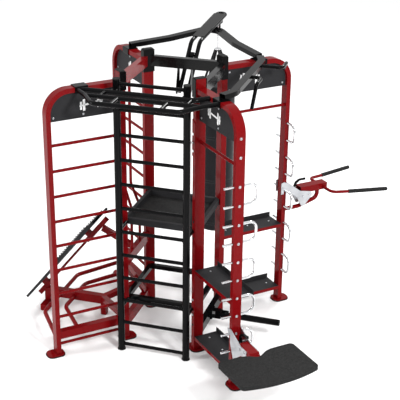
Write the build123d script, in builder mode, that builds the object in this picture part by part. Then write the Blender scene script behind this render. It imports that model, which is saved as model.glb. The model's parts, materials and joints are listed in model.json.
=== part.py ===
from build123d import *
import os
from math import sqrt

# A four-post training tower with four diagonal wings. Millimetres, Z up, origin on the
# floor at the centre of the tower. X runs to the right side, Y to the back.

# Tower posts and feet
POST_OFFSET = 331.0  # post axis from the tower centre, along X and along Y
POST_WIDE = 90.0  # post section across the diagonal
POST_DEEP = 50.0  # post section along the diagonal
WALL = 3.0
PAD_THICK = 8.0
PLATE_THICK = 10.0
FLOOR_RISE = PAD_THICK + PLATE_THICK
POST_TOP = 2432.0
CAP_THICK = 8.0
FOOT_LONG = 150.0
FOOT_WIDE = 120.0
FOOT_SHIFT = 20.0  # a foot plate's centre is this far to the anchor's side of its post
ANCHOR_SHIFT = 50.0  # anchor hole from the post axis, along the diagonal
ANCHOR_RADIUS = 6.5

# Wings: distances s run outward from a tower post's axis, along the diagonal
WING_REACH = 636.0  # outer post axis
WING_WIDE = 80.0
WING_DEEP = 40.0
ARM_Z = 2338.0
ARM_BEND = 180.0
POST_FACE = POST_DEEP / 2
INNER_FACE = WING_REACH - WING_DEEP / 2
OUTER_FACE = WING_REACH + WING_DEEP / 2
SIDE_FACE = WING_WIDE / 2
RUNG_D = 26.0
RUNG_FIRST = 354.0
RUNG_STEP = 220.0
RUNG_COUNT = 8
HOLE_FIRST = 331.0  # first of the ten hole heights on an outer post
HOLE_STEP = 158.4
HOLE_COUNT = 10
PEG_D = 20.0
PEG_LONG = 85.0

# Tower beams, as depth outward from the tower centre
BEAM_IN = 320.0
BEAM_OUT = 370.0
BRACKET_THICK = 6.0
TOP_BEAM_LOW = 2290.0
TOP_BEAM_HIGH = 2380.0
RING_HALF = 330.0

# Ladder in front
LADDER_X = 290.0
LADDER_Y = -525.0
UPRIGHT_D = 60.0
UPRIGHT_TOP = 2422.0
STEP_D = 30.0
STEP_FIRST = 55.0
STEP_PITCH = 212.0
STEP_COUNT = 12

# Clamps on the wing arms
COLLAR_S = 350.0
COLLAR_LONG = 110.0
COLLAR_WALL = 8.0
BAR_D = 38.0

# Punch bag and its boom
BAG_Y = 1345.0
BAG_RADIUS = 170.0
BAG_LOW = 400.0
BAG_HIGH = 1870.0
BOOM_X = 38.0
BOOM_D = 36.0
PIN_D = 10.0
FIT = 0.1  # play of a bore over its pin, on the diameter
PIN_BORE = PIN_D + FIT
ROLLER_PIN_D = 16.0

UP = Vector(0, 0, 1)
HALF = sqrt(0.5)
CORNERS = {
    "front_left": (-1, -1),
    "front_right": (1, -1),
    "rear_left": (-1, 1),
    "rear_right": (1, 1),
}
SIDES = {"left": (-1, 0), "right": (1, 0), "front": (0, -1), "rear": (0, 1)}


def outward(corner):
    """Unit vector from the tower centre towards a corner."""
    sx, sy = CORNERS[corner]
    return Vector(sx * HALF, sy * HALF, 0)


def crossways(corner):
    """Unit vector a quarter turn anticlockwise from the outward one."""
    sx, sy = CORNERS[corner]
    return Vector(-sy * HALF, sx * HALF, 0)


def spot(corner, s, n, z):
    """A point of a wing: s outward from the post axis, n crossways, z up."""
    sx, sy = CORNERS[corner]
    axis = Vector(sx * POST_OFFSET, sy * POST_OFFSET, 0)
    return axis + outward(corner) * s + crossways(corner) * n + UP * z


def plan(corner, z=0.0):
    """Level plane at a height: x outward from the post axis, y crossways."""
    return Plane(origin=spot(corner, 0, 0, z), x_dir=outward(corner), z_dir=UP)


def upright(corner, n=0.0):
    """Upright plane of a wing: x outward, y up. Its normal points against crossways."""
    return Plane(origin=spot(corner, 0, n, 0), x_dir=outward(corner), z_dir=-crossways(corner))


def facing(corner, s):
    """Plane square to a wing at s: x crossways, y up, normal outward."""
    return Plane(origin=spot(corner, s, 0, 0), x_dir=crossways(corner), z_dir=outward(corner))


def side_plan(side, z):
    """Level plane of a tower side: x along the side, y outward from the tower centre."""
    dx, dy = SIDES[side]
    return Plane(origin=(0, 0, z), x_dir=(dy, -dx, 0), z_dir=UP)


def save(builder, name):
    """Labels a finished piece and writes it."""
    builder.part.label = name
    export_step(builder.part, f"parts/{name}.step")


def box_tube(start, end, wide, deep, wide_dir, wall=WALL, mode=Mode.ADD):
    """Straight rectangular tube between two points. A wall of 0 makes it solid."""
    start = Vector(start)
    run = Vector(end) - start
    with BuildSketch(Plane(origin=start, x_dir=wide_dir, z_dir=run)) as section:
        Rectangle(wide, deep)
        if wall:
            Rectangle(wide - 2 * wall, deep - 2 * wall, mode=Mode.SUBTRACT)
    extrude(section.sketch, amount=run.length, mode=mode)


def rod(start, end, diameter, bore=0.0):
    """Straight round bar, or a tube where it has a bore."""
    start = Vector(start)
    run = Vector(end) - start
    with BuildSketch(Plane(origin=start, z_dir=run)) as section:
        Circle(diameter / 2)
        if bore:
            Circle(bore / 2, mode=Mode.SUBTRACT)
    extrude(section.sketch, amount=run.length)


def bent_tube(points, radii, diameter, wall=WALL):
    """Round tube along straight runs joined by tangent arcs."""
    with BuildLine() as route:
        FilletPolyline(*points, radius=radii)
    with BuildSketch(Plane(origin=route.line @ 0, z_dir=route.line % 0)) as section:
        Circle(diameter / 2)
        if wall:
            Circle(diameter / 2 - wall, mode=Mode.SUBTRACT)
    sweep(section.sketch, path=route.line)


def slab(plane, corners, thick, both=False, mode=Mode.ADD):
    """Flat plate with a straight-sided outline drawn on a plane."""
    with BuildSketch(plane) as outline:
        with BuildLine():
            Polyline(*corners, close=True)
        make_face()
    extrude(outline.sketch, amount=thick, both=both, mode=mode)


os.makedirs("parts", exist_ok=True)

# ---------------------------------------------------------------- tower

for corner in CORNERS:
    with BuildPart() as tower_post:
        with BuildSketch(plan(corner, FLOOR_RISE)):
            RectangleRounded(POST_DEEP, POST_WIDE, 4)
            RectangleRounded(POST_DEEP - 2 * WALL, POST_WIDE - 2 * WALL, 2, mode=Mode.SUBTRACT)
        extrude(amount=POST_TOP - FLOOR_RISE)
    save(tower_post, f"tower_post_{corner}")

with BuildPart() as post_caps:
    for corner in CORNERS:
        with BuildSketch(plan(corner, POST_TOP)) as outline:
            RectangleRounded(POST_DEEP, POST_WIDE, 4)
        extrude(outline.sketch, amount=CAP_THICK)
    fillet(post_caps.faces().group_by(Axis.Z)[-1].edges(), 3)
save(post_caps, "post_caps")

# Two feet on each diagonal: the tower post's points inward, the outer post's outward.
FEET = ((0, -1), (WING_REACH, 1))

with BuildPart() as foot_plates:
    for corner in CORNERS:
        for s, way in FEET:
            with BuildSketch(plan(corner, PAD_THICK)) as outline:
                with Locations((s + way * FOOT_SHIFT, 0)):
                    RectangleRounded(FOOT_LONG, FOOT_WIDE, 45)
                with Locations((s + way * ANCHOR_SHIFT, 0)):
                    Circle(ANCHOR_RADIUS, mode=Mode.SUBTRACT)
            extrude(outline.sketch, amount=PLATE_THICK)
save(foot_plates, "foot_plates")

with BuildPart() as foot_pads:
    for corner in CORNERS:
        for s, way in FEET:
            with BuildSketch(plan(corner)) as outline:
                with Locations((s + way * FOOT_SHIFT, 0)):
                    RectangleRounded(FOOT_LONG + 10, FOOT_WIDE + 10, 50)
                with Locations((s + way * ANCHOR_SHIFT, 0)):
                    Circle(ANCHOR_RADIUS, mode=Mode.SUBTRACT)
            extrude(outline.sketch, amount=PAD_THICK)
    for side in (-1, 1):
        x = side * LADDER_X
        rod((x, LADDER_Y, 0), (x, LADDER_Y, PAD_THICK), UPRIGHT_D + 10)
        rod((x, LADDER_Y, UPRIGHT_TOP), (x, LADDER_Y, UPRIGHT_TOP + CAP_THICK), UPRIGHT_D)
save(foot_pads, "foot_pads")


def tower_beam(side, low, high, bracket=0.0):
    """Hollow beam between the two posts of a side, its ends cut to their inner faces."""
    plane_sum = 2 * POST_OFFSET - (POST_DEEP / 2 + bracket) / HALF
    corner_x = POST_OFFSET - (POST_DEEP / 2 + POST_WIDE / 2 + 2 * bracket) * HALF
    corner_y = plane_sum - corner_x
    tip = plane_sum - BEAM_IN
    outline = [
        (-tip, BEAM_IN),
        (tip, BEAM_IN),
        (corner_x, corner_y),
        (corner_x, BEAM_OUT),
        (-corner_x, BEAM_OUT),
        (-corner_x, corner_y),
    ]
    slab(side_plan(side, low), outline, high - low)
    middle = (low + high) / 2
    core_x, core_y = SIDES[side]
    reach = corner_x + 40
    offset = (BEAM_IN + BEAM_OUT) / 2
    start = Vector(core_x * offset - core_y * reach, core_y * offset + core_x * reach, middle)
    end = Vector(core_x * offset + core_y * reach, core_y * offset - core_x * reach, middle)
    with BuildSketch(Plane(origin=start, x_dir=UP, z_dir=end - start)) as core:
        Rectangle(high - low - 2 * WALL, BEAM_OUT - BEAM_IN - 2 * WALL)
    extrude(core.sketch, amount=2 * reach, mode=Mode.SUBTRACT)


with BuildPart() as top_beams:
    for side in ("left", "rear", "right"):
        tower_beam(side, TOP_BEAM_LOW, TOP_BEAM_HIGH, BRACKET_THICK)
save(top_beams, "top_beams")

with BuildPart() as beam_bracket_plates:
    for corner, (sx, sy) in CORNERS.items():
        low = TOP_BEAM_LOW - 50 if sy > 0 else TOP_BEAM_LOW - 10
        with BuildSketch(plan(corner, low)) as outline:
            with Locations((-BRACKET_THICK / 2, 0)):
                Rectangle(POST_DEEP + BRACKET_THICK, POST_WIDE + 2 * BRACKET_THICK)
            Rectangle(POST_DEEP, POST_WIDE, mode=Mode.SUBTRACT)
        extrude(outline.sketch, amount=POST_TOP - low)
save(beam_bracket_plates, "beam_bracket_plates")

RAIL_LOW = (80.0, 170.0)
RAIL_MID = (665.0, 750.0)
SIDE_MIDDLE = (BEAM_IN + BEAM_OUT) / 2

with BuildPart() as left_side_rails:
    tower_beam("left", *RAIL_LOW)
    tower_beam("left", *RAIL_MID)
    brace = [(-265, RAIL_MID[0]), (-205, RAIL_MID[0]), (265, RAIL_LOW[1]), (205, RAIL_LOW[1])]
    slab(Plane(origin=(-SIDE_MIDDLE, 0, 0), x_dir=(0, 1, 0), z_dir=(1, 0, 0)), brace, 15, both=True)
    bent_tube(
        [
            (-SIDE_MIDDLE, -90, TOP_BEAM_LOW),
            (-SIDE_MIDDLE, -90, 1370),
            (-SIDE_MIDDLE, 121, 1080),
            (-SIDE_MIDDLE, 121, RAIL_MID[1]),
        ],
        [90, 90],
        25,
    )
    bent_tube(
        [
            (-SIDE_MIDDLE, -231, 1382),
            (-SIDE_MIDDLE, -82, 1136),
            (-SIDE_MIDDLE, -82, RAIL_MID[1]),
        ],
        90,
        25,
    )
save(left_side_rails, "left_side_rails")

with BuildPart() as right_lower_rail:
    tower_beam("right", 150, 230)
save(right_lower_rail, "right_lower_rail")


def ring_outline(half):
    """Corners of a square whose corners are cut to the posts' inner faces."""
    cut = 2 * POST_OFFSET - POST_DEEP / 2 / HALF - half
    pairs = [(half, cut), (cut, half)]
    points = pairs
    points = points + [(-x, y) for x, y in reversed(pairs)]
    points = points + [(-x, -y) for x, y in pairs]
    points = points + [(x, -y) for x, y in reversed(pairs)]
    return points


TRAY_LOW = 1100.0
TRAY_HIGH = 1155.0

with BuildPart() as equipment_tray:
    slab(Plane.XY.offset(TRAY_LOW), ring_outline(RING_HALF), TRAY_HIGH - TRAY_LOW)
    with BuildSketch(Plane.XY.offset(TRAY_LOW + 6)):
        Rectangle(2 * RING_HALF - 60, 2 * RING_HALF - 60)
    extrude(amount=TRAY_HIGH - TRAY_LOW, mode=Mode.SUBTRACT)
save(equipment_tray, "equipment_tray")

LOWER_RING_Z = 380.0
RING_TUBE = 40.0

with BuildPart() as lower_frame:
    slab(Plane.XY.offset(LOWER_RING_Z), ring_outline(RING_HALF), RING_TUBE)
    with BuildSketch(Plane.XY.offset(LOWER_RING_Z)):
        Rectangle(2 * (RING_HALF - RING_TUBE), 2 * (RING_HALF - RING_TUBE))
    extrude(amount=RING_TUBE, mode=Mode.SUBTRACT)
save(lower_frame, "lower_frame")

# ---------------------------------------------------------------- wings

for corner in CORNERS:
    with BuildPart() as wing_frame:
        with BuildLine(upright(corner)) as route:
            FilletPolyline(
                (POST_FACE, ARM_Z), (WING_REACH, ARM_Z), (WING_REACH, FLOOR_RISE), radius=ARM_BEND
            )
        with BuildSketch(facing(corner, POST_FACE)) as section:
            with Locations((0, ARM_Z)):
                Rectangle(WING_WIDE, WING_DEEP)
                Rectangle(WING_WIDE - 2 * WALL, WING_DEEP - 2 * WALL, mode=Mode.SUBTRACT)
        sweep(section.sketch, path=route.line)
    save(wing_frame, f"wing_frame_{corner}")

PANEL_LOW = 2095.0
PANEL_HIGH = ARM_Z - WING_DEEP / 2
PANEL_THICK = 24.0
PANEL_CORNER = ARM_BEND - WING_DEEP / 2
PANEL_BOLTS = ((60, 2285), (330, 2285), (60, 2125), (330, 2125), (585, 2125))

with BuildPart() as sign_panels:
    for corner in CORNERS:
        with BuildSketch(upright(corner)) as outline:
            with BuildLine() as edge:
                FilletPolyline(
                    (POST_FACE, PANEL_LOW),
                    (POST_FACE, PANEL_HIGH),
                    (INNER_FACE, PANEL_HIGH),
                    (INNER_FACE, PANEL_LOW),
                    radius=[1, PANEL_CORNER],
                )
                Line(edge.line @ 1, edge.line @ 0)
            make_face()
        extrude(outline.sketch, amount=PANEL_THICK / 2, both=True)
save(sign_panels, "sign_panels")

for corner in ("front_left", "rear_left"):
    with BuildPart() as wing_rungs:
        for i in range(RUNG_COUNT):
            z = RUNG_FIRST + i * RUNG_STEP
            rod(spot(corner, POST_FACE, 0, z), spot(corner, INNER_FACE, 0, z), RUNG_D)
    save(wing_rungs, f"wing_rungs_{corner}")

with BuildPart() as wing_lower_beams:
    for corner in ("front_left", "rear_left"):
        start = spot(corner, POST_FACE, 0, 187)
        box_tube(start, spot(corner, INNER_FACE, 0, 187), 60, 70, crossways(corner))
save(wing_lower_beams, "wing_lower_beams")

with BuildPart() as wing_cross_tubes:
    for corner, z in (("front_left", 95), ("rear_left", 95), ("front_right", 1915), ("rear_right", 1915)):
        rod(spot(corner, POST_FACE, 0, z), spot(corner, INNER_FACE, 0, z), RUNG_D)
save(wing_cross_tubes, "wing_cross_tubes")

# Shelves of the right-hand wings, as (corner, far edge, heights). They start at SHELF_NEAR.
SHELF_SPANS = (("front_right", 177.0, (775.0, 140.0)), ("rear_right", 160.0, (790.0, 155.0)))
SHELF_NEAR = -40.0
SHELF_THICK = 4.0
LIP_HIGH = 45.0
SHELF_RAIL = 30.0

with BuildPart() as shelves:
    for corner, far, heights in SHELF_SPANS:
        for z in heights:
            with BuildSketch(plan(corner, z)) as outline:
                with Locations(((POST_FACE + INNER_FACE) / 2, (SHELF_NEAR + far) / 2)):
                    Rectangle(INNER_FACE - POST_FACE, far - SHELF_NEAR)
            extrude(outline.sketch, amount=SHELF_THICK)
            with BuildSketch(plan(corner, z)) as edge_strip:
                with Locations(((POST_FACE + INNER_FACE) / 2, far - SHELF_THICK / 2)):
                    Rectangle(INNER_FACE - POST_FACE, SHELF_THICK)
            extrude(edge_strip.sketch, amount=LIP_HIGH)
save(shelves, "shelves")

with BuildPart() as shelf_rails:
    for corner, far, heights in SHELF_SPANS:
        for z in heights:
            middle = z - SHELF_RAIL / 2
            near = SHELF_NEAR + SHELF_RAIL / 2
            start = spot(corner, POST_FACE, near, middle)
            end = spot(corner, INNER_FACE, near, middle)
            box_tube(start, end, SHELF_RAIL, SHELF_RAIL, crossways(corner))
save(shelf_rails, "shelf_rails")

# ---------------------------------------------------------------- ladder and bars

with BuildPart() as ladder_uprights:
    for side in (-1, 1):
        x = side * LADDER_X
        rod((x, LADDER_Y, PAD_THICK), (x, LADDER_Y, UPRIGHT_TOP), UPRIGHT_D, UPRIGHT_D - 2 * WALL)
save(ladder_uprights, "ladder_uprights")

with BuildPart() as ladder_rungs:
    for i in range(STEP_COUNT):
        z = STEP_FIRST + i * STEP_PITCH
        rod((-LADDER_X, LADDER_Y, z), (LADDER_X, LADDER_Y, z), STEP_D)
    for side in (-1, 1):
        x = side * LADDER_X
        with BuildSketch(Plane.XY) as socket:
            with Locations((x, LADDER_Y)):
                Circle(UPRIGHT_D / 2)
        extrude(socket.sketch, amount=UPRIGHT_TOP, mode=Mode.SUBTRACT)
save(ladder_rungs, "ladder_rungs")

TIE_HEIGHTS = (LOWER_RING_Z + RING_TUBE / 2, (TRAY_LOW + TRAY_HIGH) / 2)
REAR_BAR_Y = -612.0
REAR_BAR_D = 44.0
TIE_START = 346.0  # the lower ties leave the tower posts' sides here

with BuildPart() as ladder_ties:
    for side in (-1, 1):
        x = side * LADDER_X
        for z in TIE_HEIGHTS:
            rod((x, -TIE_START, z), (x, LADDER_Y, z), STEP_D)
        box_tube((x, LADDER_Y, ARM_Z), (x, REAR_BAR_Y, ARM_Z), 40, 30, (1, 0, 0), 0)
        with BuildSketch(Plane.XY) as socket:
            with Locations((x, LADDER_Y)):
                Circle(UPRIGHT_D / 2)
        extrude(socket.sketch, amount=UPRIGHT_TOP, mode=Mode.SUBTRACT)
    for corner in ("front_left", "front_right"):
        with BuildSketch(plan(corner, 0)) as post_space:
            Rectangle(POST_DEEP, POST_WIDE)
        extrude(post_space.sketch, amount=POST_TOP, mode=Mode.SUBTRACT)
    with BuildSketch(Plane.YZ.offset(-LADDER_X - 50)) as bar_space:
        with Locations((REAR_BAR_Y, ARM_Z)):
            Circle(REAR_BAR_D / 2)
    extrude(bar_space.sketch, amount=2 * LADDER_X + 100, mode=Mode.SUBTRACT)
    with BuildSketch(Plane.XZ.offset(-REAR_BAR_Y)) as beyond:
        with Locations((0, ARM_Z)):
            Rectangle(2 * LADDER_X + 100, 60)
    extrude(beyond.sketch, amount=60, mode=Mode.SUBTRACT)
save(ladder_ties, "ladder_ties")

COLLAR_SIDE = SIDE_FACE + COLLAR_WALL
ARM_HALF = WING_DEEP / 2

with BuildPart() as arm_collars:
    for corner in CORNERS:
        with BuildSketch(facing(corner, COLLAR_S - COLLAR_LONG / 2)) as section:
            with Locations((0, ARM_Z)):
                RectangleRounded(2 * COLLAR_SIDE, WING_DEEP + 2 * COLLAR_WALL, 6)
                Rectangle(WING_WIDE, WING_DEEP, mode=Mode.SUBTRACT)
            with Locations((0, PANEL_HIGH - COLLAR_WALL / 2)):
                Rectangle(PANEL_THICK, 3 * COLLAR_WALL, mode=Mode.SUBTRACT)
        extrude(section.sketch, amount=COLLAR_LONG)
save(arm_collars, "arm_collars")

BAR_S = COLLAR_S + 33  # where the front bars leave the collars
SECOND_BAR_Y = -737.0
FRONT_BAR_Y = -905.0
FRONT_BAR_X = 350.0

with BuildPart() as pull_up_frame:
    left_start = spot("front_left", BAR_S, COLLAR_SIDE, ARM_Z)
    right_start = spot("front_right", BAR_S, -COLLAR_SIDE, ARM_Z)
    left_knee = left_start + crossways("front_left") * 141
    right_knee = right_start - crossways("front_right") * 141
    bent_tube(
        [
            left_start,
            left_knee,
            Vector(-FRONT_BAR_X, FRONT_BAR_Y, ARM_Z),
            Vector(FRONT_BAR_X, FRONT_BAR_Y, ARM_Z),
            right_knee,
            right_start,
        ],
        [80, 60, 60, 80],
        BAR_D,
        0,
    )
    rod((left_knee.X + 8, SECOND_BAR_Y, ARM_Z), (right_knee.X - 8, SECOND_BAR_Y, ARM_Z), BAR_D)
    arm_end = spot("front_right", 230, -SIDE_FACE, ARM_Z)
    turn_x = arm_end.X - (arm_end.Y - REAR_BAR_Y)
    bent_tube(
        [
            Vector(spot("front_left", COLLAR_S, COLLAR_SIDE, 0).X - 30, REAR_BAR_Y, ARM_Z),
            Vector(turn_x, REAR_BAR_Y, ARM_Z),
            arm_end,
        ],
        90,
        REAR_BAR_D,
        0,
    )
    for x in (-200, 200):
        rod((x, SECOND_BAR_Y, ARM_Z), (x, FRONT_BAR_Y, ARM_Z), BAR_D - 6)
    for x in (-FRONT_BAR_X, FRONT_BAR_X):
        rod((x, REAR_BAR_Y, ARM_Z), (x, SECOND_BAR_Y, ARM_Z), BAR_D - 6)
    with BuildSketch(plan("front_left", ARM_Z - 60)) as collar_space:
        with Locations((COLLAR_S, 0)):
            Rectangle(COLLAR_LONG + 60, 2 * COLLAR_SIDE)
    extrude(collar_space.sketch, amount=120, mode=Mode.SUBTRACT)
save(pull_up_frame, "pull_up_frame")

ARCH_WIDE = 62.0
ARCH_THICK = 40.0
COLLAR_TOP = ARM_Z + ARM_HALF + COLLAR_WALL
ARCH_FOOT = Vector(0, 578, COLLAR_TOP + ARCH_THICK / 2 - 3)
ARCH_APEX = Vector(0, 1244, COLLAR_TOP + ARCH_THICK / 2 + 37)
ARCH_RUN = (ARCH_APEX - ARCH_FOOT).normalized()
ARCH_PLANE = Plane(origin=ARCH_FOOT, x_dir=(1, 0, 0), z_dir=Vector(1, 0, 0).cross(ARCH_RUN))
ARCH_LONG = (ARCH_APEX - ARCH_FOOT).length


def flat_tube(plane, points, radii, wide, thick):
    """Rectangular tube whose route lies in a plane, its thickness square to that plane."""
    with BuildLine(plane) as route:
        FilletPolyline(*points, radius=radii)
    with BuildSketch(Plane(origin=route.line @ 0, x_dir=plane.z_dir, z_dir=route.line % 0)) as section:
        Rectangle(thick, wide)
        Rectangle(thick - 2 * WALL, wide - 2 * WALL, mode=Mode.SUBTRACT)
    sweep(section.sketch, path=route.line)


with BuildPart() as rear_arch:
    flat_tube(
        ARCH_PLANE,
        [(-578, 0), (-300, 267), (0, ARCH_LONG), (300, 267), (578, 0)],
        [220, 120, 220],
        ARCH_WIDE,
        ARCH_THICK,
    )
    with BuildSketch(Plane.XY.offset(COLLAR_TOP - 80)) as collar_space:
        Rectangle(2000, 2000)
    extrude(collar_space.sketch, amount=80, mode=Mode.SUBTRACT)
save(rear_arch, "rear_arch")

ARCH_BAR_X = 645.0
ARCH_BAR_Z = COLLAR_TOP + ARCH_THICK / 2

with BuildPart() as right_arch_bar:
    flat_tube(
        Plane.XY.offset(ARCH_BAR_Z),
        [(585, -585), (ARCH_BAR_X, -470), (ARCH_BAR_X, 400), (600, 530)],
        [120, 120],
        ARCH_WIDE,
        ARCH_THICK,
    )
save(right_arch_bar, "right_arch_bar")

HANDLE_D = 30.0

with BuildPart() as arch_handles:
    for y, out, back, droop in ((-33, 110, -170, 200), (289, 200, 170, 60)):
        bent_tube(
            [
                Vector(ARCH_BAR_X + ARCH_WIDE / 2, y, ARCH_BAR_Z),
                Vector(ARCH_BAR_X + out, y, ARCH_BAR_Z),
                Vector(ARCH_BAR_X + out, y + back, ARCH_BAR_Z),
                Vector(ARCH_BAR_X + out - 30, y + 1.1 * back, ARCH_BAR_Z - droop),
            ],
            [45, 30],
            HANDLE_D,
            0,
        )
save(arch_handles, "arch_handles")

# ---------------------------------------------------------------- boom and punch bag

BOOM_FRONT = Vector(0, 300, 2090)
BOOM_KNEE = Vector(0, 640, 2447)
BOOM_REAR = Vector(0, 1469, 2497)
ACROSS = Vector(1, 0, 0)
BOOM_RUN = (BOOM_REAR - BOOM_KNEE).normalized()
BOOM_NORMAL = ACROSS.cross(BOOM_RUN)


def on_boom(y, above=0.0):
    """Point of the boom's long run over a Y, raised square to it."""
    t = (y - BOOM_KNEE.Y) / BOOM_RUN.Y
    return BOOM_KNEE + BOOM_RUN * t + BOOM_NORMAL * above


PLATE_START_Y = 720.0
PLATE_END_Y = 1400.0
PLATE_WIDE = 108.0

with BuildPart() as boom_tubes:
    left = ACROSS * -BOOM_X
    right = ACROSS * BOOM_X
    bent_tube(
        [
            BOOM_FRONT + left,
            BOOM_KNEE + left,
            BOOM_REAR + left,
            BOOM_REAR + right,
            BOOM_KNEE + right,
            BOOM_FRONT + right,
        ],
        [120, BOOM_X - 2, BOOM_X - 2, 120],
        BOOM_D,
        0,
    )
    plate_start = on_boom(PLATE_START_Y, BOOM_D / 2)
    plate_end = on_boom(PLATE_END_Y, BOOM_D / 2)
    box_tube(plate_start, plate_end, PLATE_WIDE, 6, (1, 0, 0), 0)
save(boom_tubes, "boom_tubes")

BEAM_Y = (BEAM_IN + BEAM_OUT) / 2
CHEEK_X = BOOM_X + BOOM_D / 2
CLEVIS_Z = 2405.0
FORK_Z = 2372.0
ROLLER_AT = Vector(0, 545, 2347)
ROLLER_HALF = 16.0
PIN_REACH = CHEEK_X - BOOM_D + 4  # the roller's pin ends inside the boom's tubes

with BuildPart() as boom_brackets:
    for side in (-1, 1):
        cheek = [
            (BEAM_Y - 24, TOP_BEAM_LOW),
            (BEAM_Y + 24, TOP_BEAM_LOW),
            (BEAM_Y + 24, 2130),
            (BEAM_Y - 40, 2070),
            (BEAM_Y - 70, 2080),
            (BEAM_Y - 60, 2150),
        ]
        face = Plane(origin=(side * (CHEEK_X + 3), 0, 0), x_dir=(0, 1, 0), z_dir=(1, 0, 0))
        slab(face, cheek, 3, both=True)
    saddle = [(1190, 2420), (1240, 2420), (1240, 2475), (1190, 2475)]
    slab(Plane.YZ, saddle, BOOM_X, both=True)
    arch_back = ARCH_PLANE.offset(-ARCH_THICK / 2 - 100)
    with BuildSketch(arch_back) as arch_space:
        with Locations((0, ARCH_LONG)):
            Rectangle(400, 400)
    extrude(arch_space.sketch, amount=ARCH_THICK + 100, mode=Mode.SUBTRACT)
    slab(
        Plane.YZ,
        [(BAG_Y - 25, 2440), (BAG_Y + 25, 2440), (BAG_Y + 25, 2500), (BAG_Y - 25, 2500)],
        BOOM_X,
        both=True,
    )
    for side in (-1, 1):
        ear = [
            (BAG_Y - 15, 2440),
            (BAG_Y + 15, 2440),
            (BAG_Y + 15, CLEVIS_Z - 12),
            (BAG_Y - 15, CLEVIS_Z - 12),
        ]
        face = Plane(origin=(side * 17, 0, 0), x_dir=(0, 1, 0), z_dir=(1, 0, 0))
        slab(face, ear, 4, both=True)
    rod((-24, BAG_Y, CLEVIS_Z), (24, BAG_Y, CLEVIS_Z), PIN_D)
    for side in (-1, 1):
        tube_start = on_boom(1000) + ACROSS * side * BOOM_X
        with BuildSketch(Plane(origin=tube_start, z_dir=BOOM_RUN)) as tube_space:
            Circle(BOOM_D / 2)
        extrude(tube_space.sketch, amount=600, mode=Mode.SUBTRACT)
    rod(ROLLER_AT - ACROSS * PIN_REACH, ROLLER_AT + ACROSS * PIN_REACH, ROLLER_PIN_D)
    leg_run = (BOOM_KNEE - BOOM_FRONT).normalized()
    for side in (-1, 1):
        with BuildSketch(Plane(origin=BOOM_FRONT + ACROSS * side * BOOM_X, z_dir=leg_run)) as tube_space:
            Circle(BOOM_D / 2)
        extrude(tube_space.sketch, amount=420, mode=Mode.SUBTRACT)
save(boom_brackets, "boom_brackets")

with BuildPart() as boom_roller:
    rod(ROLLER_AT - ACROSS * ROLLER_HALF, ROLLER_AT + ACROSS * ROLLER_HALF, 60, ROLLER_PIN_D + FIT)
save(boom_roller, "boom_roller")

with BuildPart() as bag_shackle:
    slab(
        Plane.YZ,
        [
            (BAG_Y - 16, CLEVIS_Z + 12),
            (BAG_Y + 16, CLEVIS_Z + 12),
            (BAG_Y + 16, FORK_Z - 12),
            (BAG_Y - 16, FORK_Z - 12),
        ],
        12.5,
        both=True,
    )
    with BuildSketch(Plane.YZ) as pin_bore:
        with Locations((BAG_Y, CLEVIS_Z)):
            Circle(PIN_BORE / 2)
    extrude(pin_bore.sketch, amount=20, both=True, mode=Mode.SUBTRACT)
    with BuildSketch(Plane.XY.offset(FORK_Z - 12)) as slot_space:
        with Locations((0, BAG_Y)):
            Rectangle(30, 14)
    extrude(slot_space.sketch, amount=27, mode=Mode.SUBTRACT)
    rod((0, BAG_Y - 19, FORK_Z), (0, BAG_Y + 19, FORK_Z), PIN_D)
save(bag_shackle, "bag_shackle")

RING_Z = 2200.0

with BuildPart() as bag_hanger:
    slab(
        Plane.XZ.offset(-BAG_Y),
        [(-11, FORK_Z + 11), (11, FORK_Z + 11), (11, FORK_Z - 36), (-11, FORK_Z - 36)],
        6.5,
        both=True,
    )
    with BuildSketch(Plane.XZ.offset(-BAG_Y)) as pin_bore:
        with Locations((0, FORK_Z)):
            Circle(PIN_BORE / 2)
    extrude(pin_bore.sketch, amount=20, both=True, mode=Mode.SUBTRACT)
    rod((0, BAG_Y, FORK_Z - 36), (0, BAG_Y, RING_Z), 12)
    rod((0, BAG_Y, RING_Z), (0, BAG_Y, RING_Z - 8), 64)
save(bag_hanger, "bag_hanger")

STRAP_WIDE = 32.0

with BuildPart() as bag_straps:
    for i in range(4):
        plane = Plane.XZ.rotated((0, 0, 45 + 90 * i))
        plane.origin = (0, BAG_Y, 0)
        outline = [
            (22, RING_Z - 8),
            (30, RING_Z - 8),
            (BAG_RADIUS - 12, BAG_HIGH),
            (BAG_RADIUS - 20, BAG_HIGH),
        ]
        slab(plane, outline, STRAP_WIDE / 2, both=True)
save(bag_straps, "bag_straps")

with BuildPart() as punch_bag:
    with BuildSketch(Plane.XY.offset(BAG_LOW)):
        with Locations((0, BAG_Y)):
            Circle(BAG_RADIUS)
    extrude(amount=BAG_HIGH - BAG_LOW)
    fillet(punch_bag.faces().sort_by(Axis.Z)[0].edges(), 25)
    fillet(punch_bag.faces().sort_by(Axis.Z)[-1].edges(), 8)
save(punch_bag, "punch_bag")

# ---------------------------------------------------------------- storage fittings

RACKS = (("front_right", -1), ("rear_right", 1))  # crossways side that carries the pegs
GRIP_D = 22.0
GRIP_DEEP = 125.0

with BuildPart() as storage_pegs:
    for corner, way in RACKS:
        for i in range(HOLE_COUNT):
            z = HOLE_FIRST + i * HOLE_STEP
            face = spot(corner, WING_REACH, way * SIDE_FACE, z)
            rod(face, face + crossways(corner) * way * PEG_LONG, PEG_D)
save(storage_pegs, "storage_pegs")

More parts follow.
